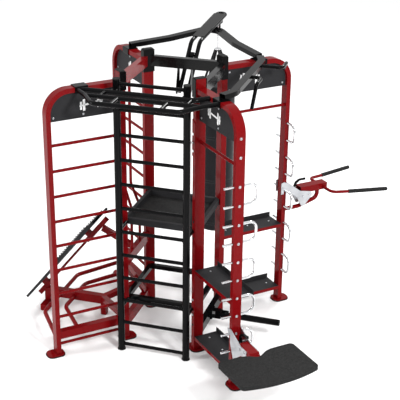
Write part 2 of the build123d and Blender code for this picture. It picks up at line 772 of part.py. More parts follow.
with BuildPart() as d_handles:
    for corner, way in RACKS:
        near = -way * SIDE_FACE
        far = -way * (SIDE_FACE + GRIP_DEEP)
        for i in range(0, HOLE_COUNT, 2):
            z = HOLE_FIRST + i * HOLE_STEP
            bent_tube(
                [
                    spot(corner, WING_REACH, near, z),
                    spot(corner, WING_REACH, far, z),
                    spot(corner, WING_REACH, far, z + HOLE_STEP),
                    spot(corner, WING_REACH, near, z + HOLE_STEP),
                ],
                60,
                GRIP_D,
                0,
            )
save(d_handles, "d_handles")

RED_PLATE_THICK = 6.0
EXTRA_HOLES = (1992.0, 2143.0)
POST_BOLTS = (349.0, 491.0)
PANEL_BOLT_D = 18.0
PLATE_BOLT_D = 22.0
FRAME_BOLT_D = 24.0
BOLT_HIGH = 6.0

with BuildPart() as face_bolts:
    for corner in CORNERS:
        for way in (-1, 1):
            for s, z in PANEL_BOLTS:
                face = spot(corner, s, way * PANEL_THICK / 2, z)
                rod(face, face + crossways(corner) * way * 5, PANEL_BOLT_D)
    for corner, way in RACKS:
        heights = [HOLE_FIRST + i * HOLE_STEP for i in range(HOLE_COUNT)]
        heights.extend(EXTRA_HOLES)
        for z in heights:
            face = spot(corner, OUTER_FACE, 0, z)
            rod(face, face + outward(corner) * BOLT_HIGH, FRAME_BOLT_D)
    for z in POST_BOLTS:
        face = spot("front_right", 0, -POST_WIDE / 2, z)
        rod(face, face - crossways("front_right") * BOLT_HIGH, PLATE_BOLT_D)
    for y in (-140, 0, 140):
        rod((-BEAM_OUT, y, ARM_Z), (-BEAM_OUT - BOLT_HIGH, y, ARM_Z), FRAME_BOLT_D)
    for side in (-1, 1):
        x = side * 100
        rod((x, BEAM_OUT, ARM_Z), (x, BEAM_OUT + BOLT_HIGH, ARM_Z), FRAME_BOLT_D)
save(face_bolts, "face_bolts")

with BuildPart() as j_hook_plate:
    front = Plane(origin=spot("front_right", 0, -POST_WIDE / 2, 0), x_dir=outward("front_right"),
                  z_dir=-crossways("front_right"))
    with BuildSketch(front) as outline:
        with BuildLine():
            Polyline((-23, 1790), (23, 1790), (23, 2070), (-23, 2100), close=True)
        make_face()
    extrude(outline.sketch, amount=RED_PLATE_THICK)
save(j_hook_plate, "j_hook_plate")

with BuildPart() as j_hook:
    start = spot("front_right", 0, -POST_WIDE / 2 - RED_PLATE_THICK, 1910)
    away = -crossways("front_right")
    bent_tube([start, start + away * 70, start + away * 70 + UP * 62], 22, 18, 0)
    for z in (1980, 1837):
        face = spot("front_right", 0, -POST_WIDE / 2 - RED_PLATE_THICK, z)
        rod(face, face + away * BOLT_HIGH, FRAME_BOLT_D)
save(j_hook, "j_hook")

# ---------------------------------------------------------------- dip and step stations

HOOK_THICK = 6.0
HOOK_AT = SIDE_FACE + 4.0  # inner face of a hook plate from the wing's middle
PEG_SLOT = GRIP_D + 0.6
DIP = "rear_right"
STEP = "front_right"
DIP_PEG_Z = HOLE_FIRST + 5 * HOLE_STEP
STEP_PEG_Z = HOLE_FIRST + HOLE_STEP
DIP_PIVOT = (772.0, 1062.0)
STEP_PIVOT = (722.0, 452.0)
DIP_HOOK = (
    (600, 1190), (625, 1200), (688, 1173), (799, 1085), (915, 1060), (935, 1035),
    (920, 1008), (850, 930), (822, 932), (800, 965), (775, 1025), (690, 1085), (600, 1085),
)
STEP_HOOK = (
    (600, 530), (650, 540), (808, 466), (900, 462), (900, 405), (820, 385), (700, 290),
)


def hook_pair(corner, outline, peg_z, pivot):
    """Two plates that drop over a peg from above, with the lever's pin between them."""
    for way in (-1, 1):
        n = way * (HOOK_AT + HOOK_THICK / 2)
        slab(upright(corner, n), outline, HOOK_THICK / 2, both=True)
        with BuildSketch(upright(corner, n)) as slot_space:
            with Locations((WING_REACH, peg_z)):
                Circle(PEG_SLOT / 2)
            with Locations((WING_REACH, peg_z - 100)):
                Rectangle(PEG_SLOT, 200)
        extrude(slot_space.sketch, amount=HOOK_THICK, both=True, mode=Mode.SUBTRACT)
    pin = spot(corner, pivot[0], -HOOK_AT, pivot[1])
    rod(pin, pin + crossways(corner) * 2 * HOOK_AT, PIN_D)


with BuildPart() as hook_plates:
    hook_pair(DIP, DIP_HOOK, DIP_PEG_Z, DIP_PIVOT)
    hook_pair(STEP, STEP_HOOK, STEP_PEG_Z, STEP_PIVOT)
    for corner, s, z in ((DIP, 838, 1020), (DIP, 900, 1032), (STEP, 800, 430), (STEP, 860, 434)):
        for way in (-1, 1):
            face = spot(corner, s, way * (HOOK_AT + HOOK_THICK), z)
            rod(face, face + crossways(corner) * way * BOLT_HIGH, PLATE_BOLT_D)
save(hook_plates, "hook_plates")

DIP_ARM_Z = 1083.0
ARM_TUBE = 60.0
DIP_ARM_START = 812.0
DIP_ARM_END = 1095.0
BRACE_D = 38.0
HANDLE_START = 1055.0

with BuildPart() as dip_arm:
    start = spot(DIP, DIP_ARM_START, 0, DIP_ARM_Z)
    box_tube(start, spot(DIP, DIP_ARM_END, 0, DIP_ARM_Z), 2 * HOOK_AT, ARM_TUBE, crossways(DIP))
    bent_tube(
        [
            spot(DIP, OUTER_FACE, 0, 915),
            spot(DIP, 820, 0, 915),
            spot(DIP, 1018, 0, 968),
            spot(DIP, 1018, 0, DIP_ARM_Z - ARM_TUBE / 2),
        ],
        [150, 60],
        BRACE_D,
    )
save(dip_arm, "dip_arm")

DIP_BAR_D = 28.0
DIP_GRIP_D = 36.0
DIP_GRIP_BORE = DIP_BAR_D + FIT
BAR_KNEE = (1055.0, 185.0)
BAR_ELBOW = (1185.0, 212.0)
BAR_TIP = (1570.0, 300.0)

with BuildPart() as dip_handles:
    for way in (-1, 1):
        bent_tube(
            [
                spot(DIP, HANDLE_START, way * HOOK_AT, DIP_ARM_Z - 8),
                spot(DIP, BAR_KNEE[0], way * BAR_KNEE[1], DIP_ARM_Z - 8),
                spot(DIP, BAR_ELBOW[0], way * BAR_ELBOW[1], DIP_ARM_Z - 16),
                spot(DIP, BAR_TIP[0], way * BAR_TIP[1], DIP_ARM_Z - 28),
            ],
            [60, 150],
            DIP_BAR_D,
        )
save(dip_handles, "dip_handles")

GRIP_START = 0.06  # share of the last straight run before the grip starts

with BuildPart() as dip_grips:
    for way in (-1, 1):
        elbow = spot(DIP, BAR_ELBOW[0], way * BAR_ELBOW[1], DIP_ARM_Z - 16)
        tip = spot(DIP, BAR_TIP[0], way * BAR_TIP[1], DIP_ARM_Z - 28)
        grip_start = elbow + (tip - elbow) * GRIP_START
        rod(grip_start, tip, DIP_GRIP_D, DIP_GRIP_BORE)
        rod(tip, tip + (tip - elbow).normalized() * 10, DIP_GRIP_D)
save(dip_grips, "dip_grips")

LEVER_HALF = 7.0


def lock_lever(corner, pivot, outline):
    """Flat curved lever with a bored hub, between the hook plates."""
    hub = spot(corner, pivot[0], -LEVER_HALF - 8, pivot[1])
    rod(hub, hub + crossways(corner) * 2 * (LEVER_HALF + 8), 26)
    slab(upright(corner), outline, LEVER_HALF, both=True)
    with BuildSketch(upright(corner)) as bore:
        with Locations(pivot):
            Circle(PIN_BORE / 2)
    extrude(bore.sketch, amount=40, both=True, mode=Mode.SUBTRACT)


with BuildPart() as dip_lock_lever:
    lock_lever(
        DIP,
        DIP_PIVOT,
        [
            (762, 1062), (756, 1118), (776, 1160), (812, 1182), (880, 1182),
            (880, 1164), (818, 1164), (792, 1146), (776, 1114), (782, 1062),
        ],
    )
save(dip_lock_lever, "dip_lock_lever")

with BuildPart() as step_lock_lever:
    lock_lever(
        STEP,
        STEP_PIVOT,
        [
            (712, 452), (716, 505), (732, 528), (768, 546), (841, 556),
            (841, 538), (776, 528), (748, 512), (736, 492), (732, 452),
        ],
    )
save(step_lock_lever, "step_lock_lever")

BOARD_LOW = 440.0
BOARD_THICK = 32.0
BOARD_BACK = 950.0
BOARD_NOTCH = 1014.0
NOTCH_HALF = 170.0
BOARD_FRONT = 1338.0
BOARD_BULGE = 1390.0
BOARD_HALF = 340.0

with BuildPart() as step_arm:
    slab(
        upright(STEP),
        [
            (762, 462), (940, 462), (955, BOARD_LOW), (1290, BOARD_LOW), (1290, 418),
            (1040, 400), (850, 340), (762, 340),
        ],
        HOOK_AT,
        both=True,
    )
save(step_arm, "step_arm")

with BuildPart() as step_board:
    with BuildSketch(plan(STEP, BOARD_LOW)):
        with BuildLine():
            Line((BOARD_FRONT, BOARD_HALF), (BOARD_BACK, BOARD_HALF))
            Line((BOARD_BACK, BOARD_HALF), (BOARD_BACK, NOTCH_HALF))
            Spline(
                (BOARD_BACK, NOTCH_HALF),
                (BOARD_NOTCH, 0),
                (BOARD_BACK, -NOTCH_HALF),
                tangents=[(0, -1), (0, -1)],
            )
            Line((BOARD_BACK, -NOTCH_HALF), (BOARD_BACK, -BOARD_HALF))
            Line((BOARD_BACK, -BOARD_HALF), (BOARD_FRONT, -BOARD_HALF))
            ThreePointArc(
                (BOARD_FRONT, -BOARD_HALF), (BOARD_BULGE, 0), (BOARD_FRONT, BOARD_HALF)
            )
        make_face()
    extrude(amount=BOARD_THICK)
    corners = step_board.edges().filter_by(Axis.Z).sort_by(SortBy.LENGTH)
    fillet([edge for edge in corners if abs(plan(STEP).to_local_coords(edge.center()).Y) > 300], 35)
save(step_board, "step_board")

# ---------------------------------------------------------------- landmine

MINE_Z = 190.0
YAW_X = 425.0
PITCH_X = 490.0
MINE_D = 56.0
MINE_LONG = 440.0
YAW_PIN_D = 16.0
PITCH_PIN_D = 14.0

with BuildPart() as landmine_base:
    box_tube((BEAM_OUT, 0, MINE_Z), (BEAM_OUT + 12, 0, MINE_Z), 100, 80, (0, 1, 0), 0)
    for way in (-1, 1):
        middle = MINE_Z + way * 34
        box_tube((BEAM_OUT + 12, 0, middle), (YAW_X + 24, 0, middle), 50, 12, (0, 1, 0), 0)
    rod((YAW_X, 0, MINE_Z - 34), (YAW_X, 0, MINE_Z + 34), YAW_PIN_D)
save(landmine_base, "landmine_base")

with BuildPart() as landmine_yoke:
    box_tube((YAW_X - 20, 0, MINE_Z), (YAW_X + 34, 0, MINE_Z), 70, 55, (0, 1, 0), 0)
    for way in (-1, 1):
        start = Vector(YAW_X + 34, way * 29, MINE_Z)
        box_tube(start, (PITCH_X + 22, way * 29, MINE_Z), 12, 44, (0, 1, 0), 0)
    rod((PITCH_X, -29, MINE_Z), (PITCH_X, 29, MINE_Z), PITCH_PIN_D)
    with BuildSketch(Plane.XY) as bore:
        with Locations((YAW_X, 0)):
            Circle((YAW_PIN_D + FIT) / 2)
    extrude(bore.sketch, amount=300, mode=Mode.SUBTRACT)
save(landmine_yoke, "landmine_yoke")

with BuildPart() as landmine_sleeve:
    rod((PITCH_X, -22, MINE_Z), (PITCH_X, 22, MINE_Z), 36)
    start = Vector(PITCH_X, 0, MINE_Z)
    box_tube(start, start + ACROSS * 45, 36, 30, (0, 1, 0), 0)
    rod(start + ACROSS * 45, start + ACROSS * (45 + MINE_LONG), MINE_D, MINE_D - 8)
    rod(start + ACROSS * 45, start + ACROSS * 57, MINE_D)
    with BuildSketch(Plane.XZ) as bore:
        with Locations((PITCH_X, MINE_Z)):
            Circle((PITCH_PIN_D + FIT) / 2)
    extrude(bore.sketch, amount=60, both=True, mode=Mode.SUBTRACT)
save(landmine_sleeve, "landmine_sleeve")

# ---------------------------------------------------------------- incline station

SLOPE_LOW = Vector(-1346, 0, 149)
SLOPE_HIGH = Vector(-672, 0, 984)
SLOPE = (SLOPE_HIGH - SLOPE_LOW).normalized()
SLOPE_UP = Vector(0, 1, 0).cross(SLOPE) * -1
BOARD_WIDE = 340.0
INCLINE_THICK = 22.0
FLANGE = 14.0


def on_slope(along, above=0.0, y=0.0):
    """Point of the inclined board's line, from its low end, raised square to it."""
    return SLOPE_LOW + SLOPE * along + SLOPE_UP * above + Vector(0, y, 0)


SLOPE_LONG = (SLOPE_HIGH - SLOPE_LOW).length
SLEEVE = 44.0
SLEEVE_BELOW = -62.0
# Start and end of the low and the high sleeve, along the board's line
SLEEVE_SPANS = ((20.0, SLOPE_LONG * 0.18), (SLOPE_LONG * 0.74, SLOPE_LONG * 1.02))
SLEEVE_BLOCKS = (SLOPE_LONG * 0.14, SLOPE_LONG * 0.8)  # blocks that join them to the board

with BuildPart() as incline_board:
    box_tube(on_slope(0), on_slope(SLOPE_LONG), INCLINE_THICK, BOARD_WIDE, SLOPE_UP)
    for way in (-1, 1):
        start = on_slope(SLOPE_LONG * 0.45, INCLINE_THICK / 2 + FLANGE / 2, way * (BOARD_WIDE / 2 - 3))
        box_tube(start, start + SLOPE * (SLOPE_LONG * 0.5), FLANGE, 6, SLOPE_UP, 0)
save(incline_board, "incline_board")

with BuildPart() as incline_sleeves:
    for low, high in SLEEVE_SPANS:
        start = on_slope(low, SLEEVE_BELOW)
        box_tube(start, on_slope(high, SLEEVE_BELOW), SLEEVE, SLEEVE, SLOPE_UP)
    for middle in SLEEVE_BLOCKS:
        start = on_slope(middle, SLEEVE_BELOW + SLEEVE / 2)
        end = on_slope(middle, -INCLINE_THICK / 2)
        box_tube(start, end, 40, 60, SLOPE, 0)
save(incline_sleeves, "incline_sleeves")

with BuildPart() as incline_rod:
    rod(on_slope(SLEEVE_SPANS[0][1], SLEEVE_BELOW), on_slope(SLEEVE_SPANS[1][0], SLEEVE_BELOW), 22)
save(incline_rod, "incline_rod")

BEAM_Z = 155.0
MAIN_LOW_X = -1230.0
MAIN_HIGH_X = -640.0

with BuildPart() as incline_frame:
    box_tube((MAIN_LOW_X, 0, BEAM_Z), (MAIN_HIGH_X, 0, BEAM_Z), 60, 80, (0, 1, 0), 0)
    box_tube((-655, 0, PAD_THICK), (-655, 0, BEAM_Z), 50, 60, (1, 0, 0), 0)
    box_tube((-1205, 0, PAD_THICK), (-1205, 0, BEAM_Z), 50, 60, (1, 0, 0), 0)
    box_tube((-1205, -130, 38), (-1205, 130, 38), 60, 60, (1, 0, 0), 0)
    for corner in ("front_left", "rear_left"):
        sx, sy = CORNERS[corner]
        end = spot(corner, 0, 0, BEAM_Z + 85) + Vector(-POST_WIDE / 2, 0, 0)
        box_tube((-665, 0, BEAM_Z + 10), end, 50, 50, UP, 0)
        with BuildSketch(plan(corner, 0)) as post_space:
            Rectangle(POST_DEEP, POST_WIDE)
            with Locations((100, 0)):
                Rectangle(200, 70)
        extrude(post_space.sketch, amount=600, mode=Mode.SUBTRACT)
        with BuildSketch(side_plan("left", 0)) as inside:
            with Locations((0, BEAM_OUT - 150)):
                Rectangle(900, 300)
        extrude(inside.sketch, amount=600, mode=Mode.SUBTRACT)
    box_tube((-650, 0, 870), (-BEAM_OUT, 0, 735), 40, 50, (0, 1, 0), 0)
    with BuildSketch(Plane.YZ.offset(-BEAM_OUT)) as behind:
        with Locations((0, 700)):
            Rectangle(200, 400)
    extrude(behind.sketch, amount=200, mode=Mode.SUBTRACT)
    sleeve_start = on_slope(SLOPE_LONG * 0.7, SLEEVE_BELOW)
    sleeve_end = on_slope(SLOPE_LONG * 1.1, SLEEVE_BELOW)
    box_tube(sleeve_start, sleeve_end, SLEEVE, SLEEVE, SLOPE_UP, 0, Mode.SUBTRACT)
    sleeve_start = on_slope(0, SLEEVE_BELOW)
    sleeve_end = on_slope(SLOPE_LONG * 0.2, SLEEVE_BELOW)
    box_tube(sleeve_start, sleeve_end, SLEEVE, SLEEVE, SLOPE_UP, 0, Mode.SUBTRACT)
save(incline_frame, "incline_frame")

BASE_BAR_D = 38.0
BASE_BAR_Z = 150.0
BASE_BARS = ((1075.0, 380.0, WING_REACH), (936.0, 235.0, 418.0))

with BuildPart() as base_bars:
    for knee_x, knee_y, wing_s in BASE_BARS:
        for corner in ("front_left", "rear_left"):
            sy = CORNERS[corner][1]
            wing_point = spot(corner, wing_s, 0, BASE_BAR_Z)
            bent_tube(
                [
                    Vector(-knee_x, sy * 30, BASE_BAR_Z),
                    Vector(-knee_x, sy * knee_y, BASE_BAR_Z),
                    wing_point,
                ],
                120,
                BASE_BAR_D,
                0,
            )
    for corner in ("front_left", "rear_left"):
        with BuildSketch(plan(corner, 0)) as wing_space:
            with Locations((WING_REACH, 0)):
                Rectangle(WING_DEEP, WING_WIDE)
            with Locations((WING_REACH / 2, 0)):
                Rectangle(WING_REACH, 70)
        extrude(wing_space.sketch, amount=400, mode=Mode.SUBTRACT)
save(base_bars, "base_bars")
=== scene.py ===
"""A training rig: a four-post tower with four wings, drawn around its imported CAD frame, in metres."""

import json
import math
import random

import bmesh
import bpy
import numpy as np
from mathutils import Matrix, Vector


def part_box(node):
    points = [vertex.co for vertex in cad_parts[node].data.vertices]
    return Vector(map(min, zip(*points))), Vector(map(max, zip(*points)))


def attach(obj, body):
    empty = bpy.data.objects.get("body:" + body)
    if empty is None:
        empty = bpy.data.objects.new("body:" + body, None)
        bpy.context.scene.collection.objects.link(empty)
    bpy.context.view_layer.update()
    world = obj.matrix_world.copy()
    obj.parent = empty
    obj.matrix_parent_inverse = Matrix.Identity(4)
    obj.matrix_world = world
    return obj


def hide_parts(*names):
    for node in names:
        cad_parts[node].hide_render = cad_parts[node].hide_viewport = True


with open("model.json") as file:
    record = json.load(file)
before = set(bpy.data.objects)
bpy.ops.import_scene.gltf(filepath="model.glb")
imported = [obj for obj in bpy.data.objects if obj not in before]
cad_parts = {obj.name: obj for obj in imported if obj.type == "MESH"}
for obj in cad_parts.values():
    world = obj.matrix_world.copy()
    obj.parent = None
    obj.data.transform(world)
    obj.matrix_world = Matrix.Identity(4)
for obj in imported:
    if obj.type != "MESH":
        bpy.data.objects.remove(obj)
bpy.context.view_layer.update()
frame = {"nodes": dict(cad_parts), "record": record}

NODES = frame["nodes"]
UP = Vector((0, 0, 1))
random.seed(4)

# ---------------------------------------------------------------- reading the frame


def solids(node):
    """Vertex coordinates of each separate solid of a CAD node, as arrays."""
    bm = bmesh.new()
    bm.from_mesh(NODES[node].data)
    bmesh.ops.remove_doubles(bm, verts=bm.verts, dist=1e-5)
    bm.verts.ensure_lookup_table()
    bm.verts.index_update()
    unseen = set(range(len(bm.verts)))
    found = []
    while unseen:
        stack = [min(unseen)]
        unseen.remove(stack[0])
        group = []
        while stack:
            vert = bm.verts[stack.pop()]
            group.append(tuple(vert.co))
            for edge in vert.link_edges:
                other = edge.other_vert(vert).index
                if other in unseen:
                    unseen.remove(other)
                    stack.append(other)
        found.append(np.array(group))
    bm.free()
    return found


def measure(points):
    """Centre, three axes from longest to shortest, and the lengths along them."""
    centred = points - points.mean(axis=0)
    axes = np.linalg.svd(centred, full_matrices=False)[2]
    along = points @ axes.T
    low = along.min(axis=0)
    high = along.max(axis=0)
    order = np.argsort(low - high)
    centre = Vector(((low + high) / 2) @ axes)
    return centre, [Vector(axes[i]) for i in order], [float(high[i] - low[i]) for i in order]


def away(centre, axis):
    """The axis, turned so that it points away from the tower's centre line."""
    return axis if centre.dot(axis) > 0 else -axis


# ---------------------------------------------------------------- materials


def new_material(name, metallic=0.0, specular=0.5, coat=0.0):
    """A principled material with its constant values set on the shader itself."""
    material = bpy.data.materials.new(name)
    material.use_nodes = True
    shader = material.node_tree.nodes["Principled BSDF"]
    shader.inputs["Metallic"].default_value = metallic
    shader.inputs["Specular IOR Level"].default_value = specular
    shader.inputs["Coat Weight"].default_value = coat
    shader.inputs["Coat Roughness"].default_value = 0.05
    return material


def object_noise(material, scale, detail=3.0):
    """Noise in the object's own space. Returns the noise node."""
    tree = material.node_tree
    place = tree.nodes.new("ShaderNodeTexCoord")
    noise = tree.nodes.new("ShaderNodeTexNoise")
    noise.inputs["Scale"].default_value = scale
    noise.inputs["Detail"].default_value = detail
    tree.links.new(place.outputs["Object"], noise.inputs["Vector"])
    return noise


def ramp(material, source, stops):
    """Colour ramp over a value. Stops are (position, colour)."""
    tree = material.node_tree
    node = tree.nodes.new("ShaderNodeValToRGB")
    node.color_ramp.elements[0].position = stops[0][0]
    node.color_ramp.elements[0].color = (*stops[0][1], 1)
    node.color_ramp.elements[1].position = stops[1][0]
    node.color_ramp.elements[1].color = (*stops[1][1], 1)
    tree.links.new(source, node.inputs["Fac"])
    return node.outputs["Color"]


def set_colour(material, scale, dark, light):
    """Mottles the base colour between two near shades."""
    noise = object_noise(material, scale)
    colour = ramp(material, noise.outputs["Fac"], ((0.2, dark), (0.8, light)))
    shader = material.node_tree.nodes["Principled BSDF"]
    material.node_tree.links.new(colour, shader.inputs["Base Color"])


def set_roughness(material, scale, low, high):
    """Varies roughness, as handling and dust do."""
    noise = object_noise(material, scale, 5.0)
    value = ramp(material, noise.outputs["Fac"], ((0.3, (low,) * 3), (0.7, (high,) * 3)))
    shader = material.node_tree.nodes["Principled BSDF"]
    material.node_tree.links.new(value, shader.inputs["Roughness"])


def set_bump(material, height, distance, strength):
    """Raises the surface by a height output, a distance in metres."""
    tree = material.node_tree
    bump = tree.nodes.new("ShaderNodeBump")
    bump.inputs["Distance"].default_value = distance
    bump.inputs["Strength"].default_value = strength
    tree.links.new(height, bump.inputs["Height"])
    tree.links.new(bump.outputs["Normal"], tree.nodes["Principled BSDF"].inputs["Normal"])


def cell_height(material, scale):
    """Height of small cells, as in leather grain or moulded rubber."""
    tree = material.node_tree
    place = tree.nodes.new("ShaderNodeTexCoord")
    cells = tree.nodes.new("ShaderNodeTexVoronoi")
    cells.inputs["Scale"].default_value = scale
    tree.links.new(place.outputs["Object"], cells.inputs["Vector"])
    return cells.outputs["Distance"]


def paint(name, dark, light, roughness, specular=0.22):
    """Gloss enamel over steel, with a faint orange peel."""
    material = new_material(name, specular=specular, coat=0.02)
    set_colour(material, 60.0, dark, light)
    set_roughness(material, 9.0, roughness[0], roughness[1])
    set_bump(material, object_noise(material, 260.0, 1.0).outputs["Fac"], 0.0003, 0.12)
    return material


def grained(name, dark, light, roughness, scale, depth, strength=0.5):
    """Rubber, vinyl or powder coat with fine cells in it."""
    material = new_material(name, specular=0.08)
    set_colour(material, scale * 0.5, dark, light)
    set_roughness(material, scale * 0.2, roughness[0], roughness[1])
    set_bump(material, cell_height(material, scale), depth, strength)
    return material


def metal(name, dark, light, roughness):
    """Bare or plated metal with fine scratches."""
    material = new_material(name, metallic=1.0)
    set_colour(material, 12.0, dark, light)
    set_roughness(material, 60.0, roughness[0], roughness[1])
    set_bump(material, object_noise(material, 420.0, 2.0).outputs["Fac"], 0.0002, 0.08)
    return material


def two_tone(name, red, black, edge_x):
    """Enamel that is red on one side of an X and black on the other."""
    material = paint(name, black[0], black[1], (0.13, 0.2))
    tree = material.node_tree
    place = tree.nodes.new("ShaderNodeTexCoord")
    split = tree.nodes.new("ShaderNodeSeparateXYZ")
    side = tree.nodes.new("ShaderNodeMath")
    side.operation = "LESS_THAN"
    side.inputs[1].default_value = edge_x
    tree.links.new(place.outputs["Object"], split.inputs["Vector"])
    tree.links.new(split.outputs["X"], side.inputs[0])
    mix = tree.nodes.new("ShaderNodeMix")
    mix.data_type = "RGBA"
    shader = tree.nodes["Principled BSDF"]
    black_link = shader.inputs["Base Color"].links[0].from_socket
    tree.links.new(side.outputs["Value"], mix.inputs["Factor"])
    tree.links.new(black_link, mix.inputs["A"])
    mix.inputs["B"].default_value = (*red, 1)
    tree.links.new(mix.outputs["Result"], shader.inputs["Base Color"])
    return material


RED_DARK = (0.14, 0.0025, 0.0035)
RED_LIGHT = (0.165, 0.0035, 0.005)
BLACK_DARK = (0.002, 0.002, 0.0022)
BLACK_LIGHT = (0.0035, 0.0035, 0.0038)

RED = paint("red_enamel", RED_DARK, RED_LIGHT, (0.1, 0.16), 0.06)
BLACK = paint("black_enamel", BLACK_DARK, BLACK_LIGHT, (0.09, 0.16), 0.07)
BEAMS = two_tone("beam_enamel", RED_LIGHT, (BLACK_DARK, BLACK_LIGHT), -0.315)
PLATE = grained(
    "charcoal_powder_coat", (0.016, 0.016, 0.017), (0.026, 0.026, 0.028), (0.5, 0.62), 700.0, 0.0003
)
RUBBER = grained(
    "moulded_rubber", (0.006, 0.006, 0.006), (0.026, 0.026, 0.026), (0.6, 0.8), 260.0, 0.0009, 1.0
)
VINYL = grained(
    "bag_vinyl", (0.010, 0.010, 0.011), (0.02, 0.02, 0.022), (0.34, 0.48), 230.0, 0.0006, 0.5
)
CHROME = metal("chrome", (0.62, 0.63, 0.65), (0.78, 0.79, 0.8), (0.08, 0.18))
STEEL = metal("zinc_plated_steel", (0.4, 0.41, 0.43), (0.56, 0.57, 0.59), (0.28, 0.42))
WHITE = paint("white_sign_paint", (0.78, 0.78, 0.78), (0.86, 0.86, 0.86), (0.3, 0.4))
WEBBING = grained(
    "woven_webbing", (0.012, 0.012, 0.013), (0.035, 0.035, 0.037), (0.7, 0.85), 900.0, 0.0004, 0.9
)
THREAD = grained("sewing_thread", (0.08, 0.08, 0.08), (0.14, 0.14, 0.14), (0.7, 0.85), 1200.0, 0.0002)

BY_SLOT = {
    "red_paint": RED,
    "black_paint": BLACK,
    "dark_plate": PLATE,
    "chrome": CHROME,
    "bright_steel": STEEL,
    "rubber": RUBBER,
    "bag_vinyl": VINYL,
}

for subpart in frame["record"]["subparts"]:
    NODES[subpart["node"]].data.materials.clear()
    NODES[subpart["node"]].data.materials.append(BY_SLOT[subpart["material_slot"]])
NODES["top_beams"].data.materials[0] = BEAMS

# ---------------------------------------------------------------- building pieces


def make(name, bm, material, body="frame", sharp=35):
    """Turns a bmesh into a piece that rides on a body."""
    bmesh.ops.recalc_face_normals(bm, faces=bm.faces)
    mesh = bpy.data.meshes.new(name)
    bm.to_mesh(mesh)
    bm.free()
    mesh.shade_smooth()
    mesh.set_sharp_from_angle(angle=math.radians(sharp))
    mesh.materials.append(material)
    piece = bpy.data.objects.new(name, mesh)
    bpy.context.scene.collection.objects.link(piece)
    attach(piece, body)
    return piece


def turn(bm, profile, origin, axis, segments=24, outline=None):
    """Adds a turned solid. The profile is (radius, height) pairs, heights along the axis."""
    turned = UP.rotation_difference(axis).to_matrix()
    rings = []
    for step, (radius, height) in enumerate(profile):
        ring = []
        for k in range(segments):
            angle = 2 * math.pi * k / segments
            wide = radius * (outline(angle, step) if outline else 1.0)
            local = Vector((wide * math.cos(angle), wide * math.sin(angle), height))
            ring.append(bm.verts.new(origin + turned @ local))
        rings.append(ring)
    for low, high in zip(rings, rings[1:]):
        for k in range(segments):
            j = (k + 1) % segments
            bm.faces.new((low[k], low[j], high[j], high[k]))
    bm.faces.new(list(reversed(rings[0])))
    bm.faces.new(rings[-1])


def ring_bead(bm, centre, axis, radius, bead, segments=28, sides=8):
    """Adds a rippled weld bead round a tube."""
    turned = UP.rotation_difference(axis).to_matrix()
    rings = []
    for k in range(segments):
        angle = 2 * math.pi * k / segments
        size = bead * random.uniform(0.85, 1.15)
        ring = []
        for side in range(sides):
            turn_angle = 2 * math.pi * side / sides
            wide = radius + size * math.cos(turn_angle)
            local = Vector((wide * math.cos(angle), wide * math.sin(angle), size * math.sin(turn_angle)))
            ring.append(bm.verts.new(centre + turned @ local))
        rings.append(ring)
    for k in range(segments):
        near = rings[k]
        far = rings[(k + 1) % segments]
        for side in range(sides):
            j = (side + 1) % sides
            bm.faces.new((near[side], near[j], far[j], far[side]))


def block(bm, centre, axes, sizes, corner):
    """Adds a block with bevelled edges."""
    made = bmesh.ops.create_cube(bm, size=1.0)["verts"]
    for vert in made:
        local = vert.co.copy()
        vert.co = centre + sum((axes[i] * (local[i] * sizes[i]) for i in range(3)), Vector())
    edges = list({edge for vert in made for edge in vert.link_edges})
    bmesh.ops.bevel(bm, geom=edges, offset=corner, segments=2, affect="EDGES", profile=0.5)


# ---------------------------------------------------------------- bolts and welds

HEXAGON_SIDES = 6


def socket_outline(angle, step):
    """Round at the rim of a bolt head, hexagonal in its socket."""
    if step < 5:
        return 1.0
    part = angle % (2 * math.pi / HEXAGON_SIDES) - math.pi / HEXAGON_SIDES
    return math.cos(math.pi / HEXAGON_SIDES) / math.cos(part)


def bolt_head(bm, seat, axis, radius, height):
    """Adds a domed bolt head with a hexagon socket, on a washer."""
    turn(bm, [(radius, 0), (radius, 0.0012), (radius * 0.97, 0.0016)], seat, axis, 36)
    profile = [
        (radius * 0.78, 0.0),
        (radius * 0.78, height * 0.4),
        (radius * 0.7, height * 0.75),
        (radius * 0.58, height * 0.94),
        (radius * 0.48, height),
        (radius * 0.42, height),
        (radius * 0.42, height * 0.45),
        (radius * 0.02, height * 0.4),
    ]
    turn(bm, profile, seat + axis * 0.001, axis, 36, socket_outline)


def bolts_from_node(name, node):
    """Replaces a node of plain bolt heads with domed ones in the same places."""
    bm = bmesh.new()
    for points in solids(node):
        centre, axes, sizes = measure(points)
        axis = away(centre, axes[2])
        bolt_head(bm, centre - axis * sizes[2] / 2, axis, sizes[1] / 2, sizes[2])
    piece = make(name, bm, STEEL)
    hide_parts(node)


bolts_from_node("bolt_heads", "face_bolts")

SHELF_THICK = 0.004
SHELF_BOLTS = (0.12, 0.5, 0.88)


def shelf_bolts():
    """Three small bolts along the middle of each shelf."""
    bm = bmesh.new()
    for points in solids("shelves"):
        floor = points[points[:, 2] < points[:, 2].min() + SHELF_THICK / 2]
        centre, axes, sizes = measure(floor)
        top = centre + UP * SHELF_THICK
        for share in SHELF_BOLTS:
            bolt_head(bm, top + axes[0] * (share - 0.5) * sizes[0], UP, 0.009, 0.004)
    make("shelf_bolts", bm, STEEL)


def weld_beads(name, nodes, material, bead):
    """A bead at both ends of every rung of some nodes."""
    bm = bmesh.new()
    for node in nodes:
        for points in solids(node):
            centre, axes, sizes = measure(points)
            for way in (-1, 1):
                end = centre + axes[0] * way * (sizes[0] / 2 - bead)
                ring_bead(bm, end, axes[0], sizes[1] / 2, bead)
    make(name, bm, material, sharp=60)


